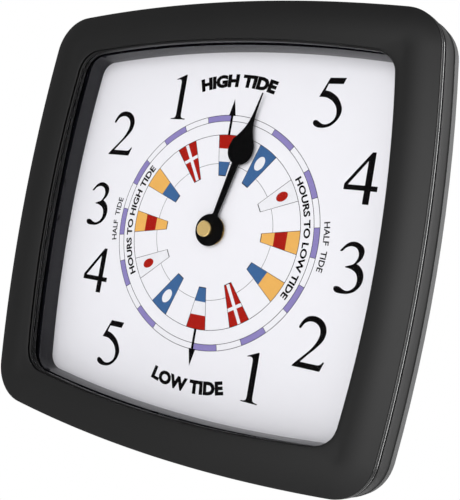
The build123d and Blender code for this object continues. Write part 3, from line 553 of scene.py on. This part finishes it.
def post(places, radius, low, high, steps=28):
    """Round posts: for each place, circles of that radius at low and high, joined and capped."""
    angle = np.linspace(0, 2 * np.pi, steps, endpoint=False)
    circle = np.stack([radius * np.cos(angle), radius * np.sin(angle)], axis=1)
    points, faces = [], []
    for index, place in enumerate(places):
        base = index * 2 * steps
        for level in (low, high):
            points.append(np.column_stack([circle + place, np.full(steps, level)]))
        here = base + np.arange(steps)
        ahead = base + (np.arange(steps) + 1) % steps
        faces += np.stack([here, ahead, ahead + steps, here + steps], axis=1).tolist()
        faces.append(here[::-1].tolist())
        faces.append((here + steps).tolist())
    return np.concatenate(points), faces


screw_places = [(x * BOSS_ACROSS, y * BOSS_UP) for x in (1, -1) for y in (1, -1)]
ring_points, ring_faces = ring(bezel_profile, LIP_SOFTER)
boss_points, boss_faces = post(screw_places, BOSS_RADIUS, BOSS_LOW, BOSS_HIGH)
piece(
    "front_bezel_finished",
    np.concatenate([ring_points, boss_points]),
    ring_faces.tolist() + [[i + len(ring_points) for i in face] for face in boss_faces],
    "case",
    case_black,
    "case_black",
    ["front_bezel"],
)

spacer_profile = eased([
    (-15.9, 0.0, 0.1),
    (-9.4, 0.0),
    (-9.4, 1.6),
    (-12.7, 1.6),
    (-12.7, 8.0),
    (-15.5, 8.0, 0.15),
])
piece(
    "spacer_frame_finished",
    *ring(spacer_profile, SPACER_SOFTER),
    "case",
    spacer_gloss,
    "spacer_gloss",
    ["spacer_frame"],
)


def draw_in_needle(mesh, bearing, start, tip, squeeze):
    """The hand's width between start and tip, in millimetres along its bearing, made narrower by the share
    squeeze * sin(pi * s), where s goes from 0 at start to 1 at the tip."""
    place = np.empty(len(mesh.vertices) * 3)
    mesh.vertices.foreach_get("co", place)
    place = place.reshape(-1, 3)
    turn = np.radians(bearing)
    ahead = np.array([np.sin(turn), 0, np.cos(turn)])
    side = np.array([np.cos(turn), 0, -np.sin(turn)])
    from_axis = place + np.array([0, 0, DIAL_DROP * MM])
    s = np.clip((from_axis @ ahead / MM - start) / (tip - start), 0, 1)
    place -= (from_axis @ side * squeeze * np.sin(np.pi * s))[:, None] * side
    mesh.vertices.foreach_set("co", place.ravel())
    mesh.update()


hand = finished("tide_hand", hand_paint, edge=0.14)
draw_in_needle(hand.data, HAND_BEARING, NEEDLE_START, HAND_LENGTH, NEEDLE_SQUEEZE)
finished("hand_cap_nut", polished_brass, edge=0.12)


# The dial's print

COAT = 0.02
PRINT_PLACE = (0.2, -0.2, 0.0)


class Print:
    """All the shapes of one ink on the dial, gathered as closed flat plates and made one piece."""

    def __init__(self, name, surface, slot="dial_white"):
        self.name = name
        self.surface = surface
        self.slot = slot
        self.points = []
        self.faces = []
        self.count = 0

    def add(self, points, faces):
        self.points.append(points)
        self.faces += [[int(i) + self.count for i in face] for face in faces]
        self.count += len(points)

    def plate(self, *outlines, top=COAT, low=0.0):
        """A flat plate from low to top: its outer outline runs anticlockwise and each hole clockwise. Both
        faces are cut into triangles, and each edge of an outline gets a wall."""
        turned = [np.asarray(outline, float) for outline in outlines]
        areas = [np.sum(o[:, 0] * np.roll(o[:, 1], -1) - np.roll(o[:, 0], -1) * o[:, 1]) for o in turned]
        turned = [o if (area > 0) == (i == 0) else o[::-1] for i, (o, area) in enumerate(zip(turned, areas))]
        flat = np.concatenate(turned)
        count = len(flat)
        triangles = np.array(tessellate_polygon([[Vector((*p, 0)) for p in o] for o in turned]))
        corners = flat[triangles]
        first, second = corners[:, 1] - corners[:, 0], corners[:, 2] - corners[:, 0]
        backward = first[:, 0] * second[:, 1] - first[:, 1] * second[:, 0] < 0
        triangles[backward] = triangles[backward][:, ::-1]
        faces = (triangles + count).tolist() + triangles[:, ::-1].tolist()
        start = 0
        for outline in turned:
            here = start + np.arange(len(outline))
            ahead = start + (np.arange(len(outline)) + 1) % len(outline)
            faces += np.stack([here, ahead, ahead + count, here + count], axis=1).tolist()
            start += len(outline)
        levels = np.concatenate([np.full(count, low), np.full(count, top)])
        self.add(np.column_stack([np.tile(flat, (2, 1)), levels]), faces)

    def make(self):
        points = np.concatenate(self.points) + PRINT_PLACE
        return piece(self.name, points, self.faces, "case", self.surface, self.slot, smooth=20.0)


def at(radius, bearing):
    """The point of the dial that many ring radii out, at that many degrees clockwise from the top."""
    angle = np.radians(bearing)
    return RING_RADIUS * np.stack([radius * np.sin(angle), radius * np.cos(angle)], axis=-1)


def sector(inner, outer, start, end, steps=10):
    """The part of a ring between two radii and two bearings."""
    bearing = np.linspace(start, end, steps)
    return np.concatenate([at(outer, bearing), at(inner, bearing[::-1])])


def circle_line(radius, width, steps=180):
    """The two edges of a thin circle, as an outer and an inner outline."""
    bearing = np.linspace(0, 360, steps, endpoint=False)
    return at(radius + width / 2, bearing), at(radius - width / 2, bearing)


def turned_by(outline, bearing):
    """An outline drawn about the dial's top turned clockwise to that bearing."""
    angle = np.radians(bearing)
    turn = np.array([[np.cos(angle), -np.sin(angle)], [np.sin(angle), np.cos(angle)]])
    return np.asarray(outline, float) @ turn


LINE = 0.0045
black = Print("print_black", ink_black)
line = Print("print_lines", ink_line)
lilac = Print("print_lilac", ink_lilac)
red = Print("print_red", ink_red)
blue = Print("print_blue", ink_blue)
yellow = Print("print_yellow", ink_yellow)
white = Print("print_white", ink_white)

for radius in (1.0, 0.948, 0.83):
    line.plate(*circle_line(radius, LINE), top=2 * COAT)
line.plate(*circle_line(0.581, 0.0035), top=COAT / 2)
for start in (26, 54, 82, 110, 138, 166):
    for half in (0, 180):
        lilac.plate(sector(0.948, 1.0, start + half, start + half + 14))
        for end in (start + half, start + half + 14):
            line.plate(sector(0.948, 1.0, end - 0.12, end + 0.12, 2), top=2 * COAT)

PENNANT_OUT, PENNANT_IN = 0.83, 0.475
HALF_OUT, HALF_IN = 0.098, 0.036


def pennant_half(radius):
    """Half the pennant's width at a radius: it tapers evenly from its outer edge to its inner one."""
    share = (radius - PENNANT_IN) / (PENNANT_OUT - PENNANT_IN)
    return HALF_IN + (HALF_OUT - HALF_IN) * share


def band(outer, inner, narrow=0.0):
    """The pennant between two radii, drawn at the dial's top, its outer edge on the circle."""
    across = np.linspace(-1, 1, 7)
    out_half, in_half = pennant_half(outer) - narrow, pennant_half(inner) - narrow
    bow = np.sqrt(outer**2 - (across * out_half) ** 2) if outer == PENNANT_OUT else np.full(7, outer)
    far = np.stack([across * out_half, bow], axis=1)
    near = np.array([[in_half, inner], [-in_half, inner]])
    return RING_RADIUS * np.concatenate([far, near])


def oval(radius, along, across, steps=28):
    """An ellipse on the pennant's middle line."""
    turn = np.linspace(0, 2 * np.pi, steps, endpoint=False)
    return RING_RADIUS * np.stack([across * np.cos(turn), radius + along * np.sin(turn)], axis=1)


def pennant_edge(bearing):
    """A thin line round the whole pennant, along its edges."""
    outer = band(PENNANT_OUT, PENNANT_IN)
    middle = outer.mean(axis=0)
    inner = middle + (outer - middle) * (1 - 2 * LINE / np.array([0.19, 0.35]))
    line.plate(turned_by(outer, bearing), turned_by(inner, bearing), top=2.5 * COAT)


for half in (0, 180):
    red.plate(turned_by(band(0.83, 0.71), half))
    white.plate(turned_by(band(0.71, 0.598), half))
    blue.plate(turned_by(band(0.598, PENNANT_IN), half))
    blue.plate(turned_by(band(PENNANT_OUT, PENNANT_IN), half + 30))
    white.plate(turned_by(oval(0.697, 0.064, 0.041), half + 30), top=2 * COAT)
    white.plate(turned_by(band(PENNANT_OUT, PENNANT_IN), half + 60))
    red.plate(turned_by(oval(0.703, 0.056, 0.038), half + 60), top=2 * COAT)
    yellow.plate(turned_by(band(0.83, 0.715), half + 90))
    red.plate(turned_by(band(0.715, 0.6), half + 90))
    yellow.plate(turned_by(band(0.6, PENNANT_IN), half + 90))
    yellow.plate(turned_by(band(0.83, 0.645), half + 120))
    blue.plate(turned_by(band(0.645, PENNANT_IN), half + 120))
    red.plate(turned_by(band(PENNANT_OUT, PENNANT_IN), half + 150))
    bar = 0.0145
    upright = RING_RADIUS * np.array([[bar, 0.48], [bar, 0.826], [-bar, 0.826], [-bar, 0.48]])
    white.plate(turned_by(upright, half + 150), top=2 * COAT)
    white.plate(turned_by(band(0.7, 0.672), half + 150), top=1.8 * COAT)
    for step in range(6):
        pennant_edge(half + 30 * step)
    stem = RING_RADIUS * np.array([[0.0115, 0.83], [0.0115, 1.02], [-0.0115, 1.02], [-0.0115, 0.83]])
    head = RING_RADIUS * np.array([[0.033, 0.995], [0.0, 1.14], [-0.033, 0.995]])
    black.plate(turned_by(stem, half), top=3 * COAT)
    black.plate(turned_by(head, half), top=3.2 * COAT)


# Numerals, as outlines on a height of 1. A run of points is a smooth curve, and runs meet in corners.

NUMERALS = {
    "1": [[
        [(0.0, 0.0), (0.39, 0.0)],
        [(0.39, 0.0), (0.39, 0.022)],
        [(0.39, 0.022), (0.325, 0.03), (0.282, 0.055), (0.268, 0.11)],
        [(0.268, 0.11), (0.266, 1.005)],
        [(0.266, 1.005), (0.243, 1.005)],
        [(0.243, 1.005), (0.0, 0.902)],
        [(0.0, 0.902), (0.0, 0.884)],
        [(0.0, 0.884), (0.06, 0.893), (0.108, 0.884), (0.13, 0.852), (0.136, 0.8)],
        [(0.136, 0.8), (0.136, 0.11)],
        [(0.136, 0.11), (0.122, 0.055), (0.08, 0.03), (0.0, 0.022)],
    ]],
    "2": [[
        [(0.03, 0.735), (0.0, 0.758), (0.03, 0.84), (0.09, 0.93), (0.17, 0.99), (0.29, 1.015), (0.42, 0.99),
         (0.52, 0.92), (0.577, 0.82), (0.59, 0.73), (0.575, 0.645), (0.545, 0.575), (0.494, 0.5),
         (0.394, 0.385), (0.275, 0.262), (0.14, 0.112)],
        [(0.14, 0.112), (0.47, 0.112), (0.545, 0.122), (0.585, 0.155), (0.618, 0.195)],
        [(0.618, 0.195), (0.642, 0.182)],
        [(0.642, 0.182), (0.572, 0.0)],
        [(0.572, 0.0), (-0.02, 0.0)],
        [(-0.02, 0.0), (-0.02, 0.022)],
        [(-0.02, 0.022), (0.08, 0.13), (0.217, 0.27), (0.32, 0.385), (0.4, 0.503), (0.45, 0.615),
         (0.465, 0.7), (0.448, 0.79), (0.39, 0.86), (0.3, 0.898), (0.2, 0.893), (0.12, 0.85), (0.075, 0.79),
         (0.05, 0.745), (0.03, 0.735)],
    ]],
    "3": [[
        [(0.01, 0.788), (-0.012, 0.8), (0.04, 0.87), (0.11, 0.945), (0.19, 0.988), (0.28, 1.0), (0.37, 0.975),
         (0.45, 0.92), (0.485, 0.85), (0.485, 0.78), (0.46, 0.7), (0.415, 0.635), (0.37, 0.588)],
        [(0.37, 0.588), (0.425, 0.562), (0.49, 0.5), (0.532, 0.42), (0.545, 0.33), (0.53, 0.24),
         (0.485, 0.15),
         (0.4, 0.065), (0.28, 0.01), (0.16, -0.003), (0.06, 0.0), (0.0, 0.025), (-0.025, 0.07),
         (-0.015, 0.108),
         (0.03, 0.125), (0.09, 0.12), (0.15, 0.09), (0.22, 0.066), (0.29, 0.075), (0.36, 0.12), (0.41, 0.19),
         (0.425, 0.28), (0.405, 0.37), (0.36, 0.43), (0.3, 0.463), (0.24, 0.483), (0.15, 0.495)],
        [(0.15, 0.495), (0.14, 0.512)],
        [(0.14, 0.512), (0.2, 0.535), (0.29, 0.572), (0.335, 0.62), (0.375, 0.7), (0.38, 0.77), (0.355, 0.84),
         (0.31, 0.885), (0.24, 0.905), (0.17, 0.898), (0.1, 0.86), (0.055, 0.81), (0.03, 0.79),
         (0.01, 0.788)],
    ]],
    "4": [
        [
            [(-0.02, 0.258), (0.41, 0.258)],
            [(0.41, 0.258), (0.41, 0.0)],
            [(0.41, 0.0), (0.543, 0.0)],
            [(0.543, 0.0), (0.543, 0.258)],
            [(0.543, 0.258), (0.673, 0.258)],
            [(0.673, 0.258), (0.673, 0.36)],
            [(0.673, 0.36), (0.543, 0.36)],
            [(0.543, 0.36), (0.543, 1.005)],
            [(0.543, 1.005), (0.465, 1.005)],
            [(0.465, 1.005), (-0.02, 0.37)],
            [(-0.02, 0.37), (-0.02, 0.258)],
        ],
        [[(0.0625, 0.36), (0.41, 0.36)], [(0.41, 0.36), (0.41, 0.83)], [(0.41, 0.83), (0.0625, 0.36)]],
    ],
    "5": [[
        [(0.215, 1.0), (0.03, 0.61)],
        [(0.03, 0.61), (0.17, 0.605), (0.26, 0.575), (0.35, 0.52), (0.42, 0.44), (0.455, 0.36), (0.465, 0.28),
         (0.45, 0.2), (0.41, 0.14), (0.34, 0.087), (0.26, 0.065), (0.19, 0.075), (0.12, 0.115), (0.07, 0.14),
         (0.02, 0.14), (-0.01, 0.1), (0.0, 0.055), (0.05, 0.015), (0.14, -0.01), (0.26, -0.005), (0.37, 0.03),
         (0.47, 0.11), (0.54, 0.21), (0.57, 0.31), (0.565, 0.4), (0.52, 0.5), (0.45, 0.6), (0.36, 0.67),
         (0.25, 0.725), (0.155, 0.745)],
        [(0.155, 0.745), (0.2, 0.875)],
        [(0.2, 0.875), (0.52, 0.875)],
        [(0.52, 0.875), (0.57, 1.0)],
        [(0.57, 1.0), (0.215, 1.0)],
    ]],
}


def smooth_run(run, steps=5):
    """A curve through the run's points: between two points it is the cubic whose ends' slopes are half the
    chord between their neighbours. A run of two points is a straight line."""
    run = np.asarray(run, float)
    if len(run) == 2:
        return run[:1]
    padded = np.concatenate([[2 * run[0] - run[1]], run, [2 * run[-1] - run[-2]]])
    before, here, ahead, beyond = padded[:-3], padded[1:-2], padded[2:-1], padded[3:]
    t = (np.arange(steps) / steps)[None, :, None]
    here, ahead = here[:, None], ahead[:, None]
    slope_here, slope_ahead = (ahead - before[:, None]) / 2, (beyond[:, None] - here) / 2
    curve = (
        (2 * t**3 - 3 * t**2 + 1) * here
        + (t**3 - 2 * t**2 + t) * slope_here
        + (3 * t**2 - 2 * t**3) * ahead
        + (t**3 - t**2) * slope_ahead
    )
    return curve.reshape(-1, 2)


NUMERAL_HEIGHT = 19.6
numeral_places = [
    ("1", -27.7, 45.75), ("2", -56.3, 28.35), ("3", -62.95, -4.2), ("4", -57.5, -33.5), ("5", -42.45, -63.6),
    ("5", 43.25, 45.25), ("4", 61.7, 17.15), ("3", 63.05, -16.4), ("2", 52.25, -46.2), ("1", 30.0, -63.8),
]
for figure, middle, foot in numeral_places:
    outlines = [np.concatenate([smooth_run(run) for run in outline]) for outline in NUMERALS[figure]]
    left, right = outlines[0][:, 0].min(), outlines[0][:, 0].max()
    shift = np.array([middle - NUMERAL_HEIGHT * (left + right) / 2, foot])
    black.plate(*[outline * NUMERAL_HEIGHT + shift for outline in outlines])


def legend(words, height, foot, centre, span, weight=0.0, reading_in=False):
    """Words bent round the dial: x along the line becomes a bearing round centre over span degrees, and y
    becomes a radius out from foot, or in from it for words that read with their tops to the middle."""
    letters = bpy.data.curves.new(words, "FONT")
    letters.body = words
    letters.extrude = 0.5
    letters.offset = weight
    letters.resolution_u = 3
    typed = bpy.data.objects.new(words, letters)
    bpy.context.scene.collection.objects.link(typed)
    bpy.context.view_layer.update()
    mesh = typed.evaluated_get(bpy.context.evaluated_depsgraph_get()).to_mesh()
    work = bmesh.new()
    work.from_mesh(mesh)
    bmesh.ops.remove_doubles(work, verts=work.verts, dist=1e-5)
    bmesh.ops.recalc_face_normals(work, faces=work.faces)
    points = np.array([vert.co for vert in work.verts])
    faces = [[vert.index for vert in face.verts] for face in work.faces]
    work.free()
    bpy.data.objects.remove(typed)
    x, y, side = points.T
    share = (x - x.min()) / (x.max() - x.min()) - 0.5
    rise = (y - y.min()) / (y.max() - y.min()) * height
    if reading_in:
        flat = at(foot - rise / RING_RADIUS, centre - share * span)
    else:
        flat = at(foot + rise / RING_RADIUS, centre + share * span)
    return np.column_stack([flat, np.where(side > 0, 1.5 * COAT, 0.0)]), faces


black.add(*legend("HIGH TIDE", 5.6, 1.243, 0.4, 33.8, weight=0.066))
black.add(*legend("LOW TIDE", 5.6, 1.361, 179.8, 32.0, weight=0.06, reading_in=True))
black.add(*legend("HALF  TIDE", 2.5, 1.035, 270.1, 21.0, weight=0.02))
black.add(*legend("HALF  TIDE", 2.5, 1.035, 90.4, 21.5, weight=0.02))
black.add(*legend("HOURS TO HIGH TIDE", 2.9, 0.858, 271.5, 66.0, weight=0.034))
black.add(*legend("HOURS TO LOW TIDE", 2.9, 0.858, 87.5, 66.0, weight=0.034))

for colour in (black, line, lilac, red, blue, yellow, white):
    colour.make()


# Floor, lights and camera

FLOOR_HALF = 0.9
FLOOR_LEVEL = -0.75
floor_mesh = bpy.data.meshes.new("floor")
floor_signs = [(-1, -1), (1, -1), (1, 1), (-1, 1)]
floor_corners = [(x * FLOOR_HALF, y * FLOOR_HALF, FLOOR_LEVEL) for x, y in floor_signs]
floor_mesh.from_pydata(floor_corners, [], [(0, 1, 2, 3)])
floor = bpy.data.objects.new("floor", floor_mesh)
bpy.context.scene.collection.objects.link(floor)
floor_paint = Surface("floor_paint")
floor_mesh.materials.append(floor_paint.shade(
    base_color=floor_paint.blend(floor_paint.noise(0.8), (0.9, 0.9, 0.9), (0.93, 0.93, 0.93)),
    roughness=0.9,
))

# The studio is brightest in front of the clock and a little below it, and the backdrop is white

world = bpy.data.worlds.new("studio")
bpy.context.scene.world = world
sky = Nodes(world)
across, away, upward = sky.split(sky.node("ShaderNodeTexCoord", {}, {}).outputs["Generated"])
facing = (-0.96 * away - 0.28 * upward).at_least(0)
narrow = facing * facing * facing
dome = 0.36 + narrow * narrow * 1.65 + across.at_least(0) * 0.08
seen = Wire(sky, sky.node("ShaderNodeLightPath", {}, {}).outputs["Is Camera Ray"])
shine = sky.node("ShaderNodeBackground", {}, {"Color": (1, 1, 1, 1), "Strength": seen + (1 - seen) * dome})
sky.node("ShaderNodeOutputWorld", {}, {"Surface": shine.outputs[0]})
bpy.context.scene.view_settings.view_transform = "Standard"


def soft_light(name, place, aim, width, height, power):
    """A rectangular soft light at a place, turned so that it shines at aim."""
    lamp = bpy.data.lights.new(name, "AREA")
    lamp.shape = "RECTANGLE"
    lamp.size = width
    lamp.size_y = height
    lamp.energy = power
    made = bpy.data.objects.new(name, lamp)
    bpy.context.scene.collection.objects.link(made)
    made.location = place
    made.rotation_euler = (Vector(aim) - Vector(place)).to_track_quat("-Z", "Y").to_euler()


middle = (0.0, -0.03, -0.052)
soft_light("front_softbox", (0.15, -1.6, 0.1), middle, 1.2, 1.0, 14.0)
soft_light("side_strip", (1.1, 0.55, 0.1), middle, 0.6, 1.4, 35.0)

camera_data = bpy.data.cameras.new("camera")
camera_data.sensor_width = 36.0
camera_data.lens = 59.249
camera_data.shift_x = -0.01322
camera_data.shift_y = -0.02142
camera_data.clip_start = 0.01
camera = bpy.data.objects.new("camera", camera_data)
bpy.context.scene.collection.objects.link(camera)
right = (0.83842733, 0.51812204, 0.1690833)
up = (-0.11541335, -0.13441408, 0.98418119)
back = (0.53265316, -0.84467887, -0.05289823)
place = (0.1877733, -0.2975009, -0.0714956)
columns = [(*row, along) for *row, along in zip(right, up, back, place)]
camera.matrix_world = Matrix(columns + [(0, 0, 0, 1)])
bpy.context.scene.camera = camera
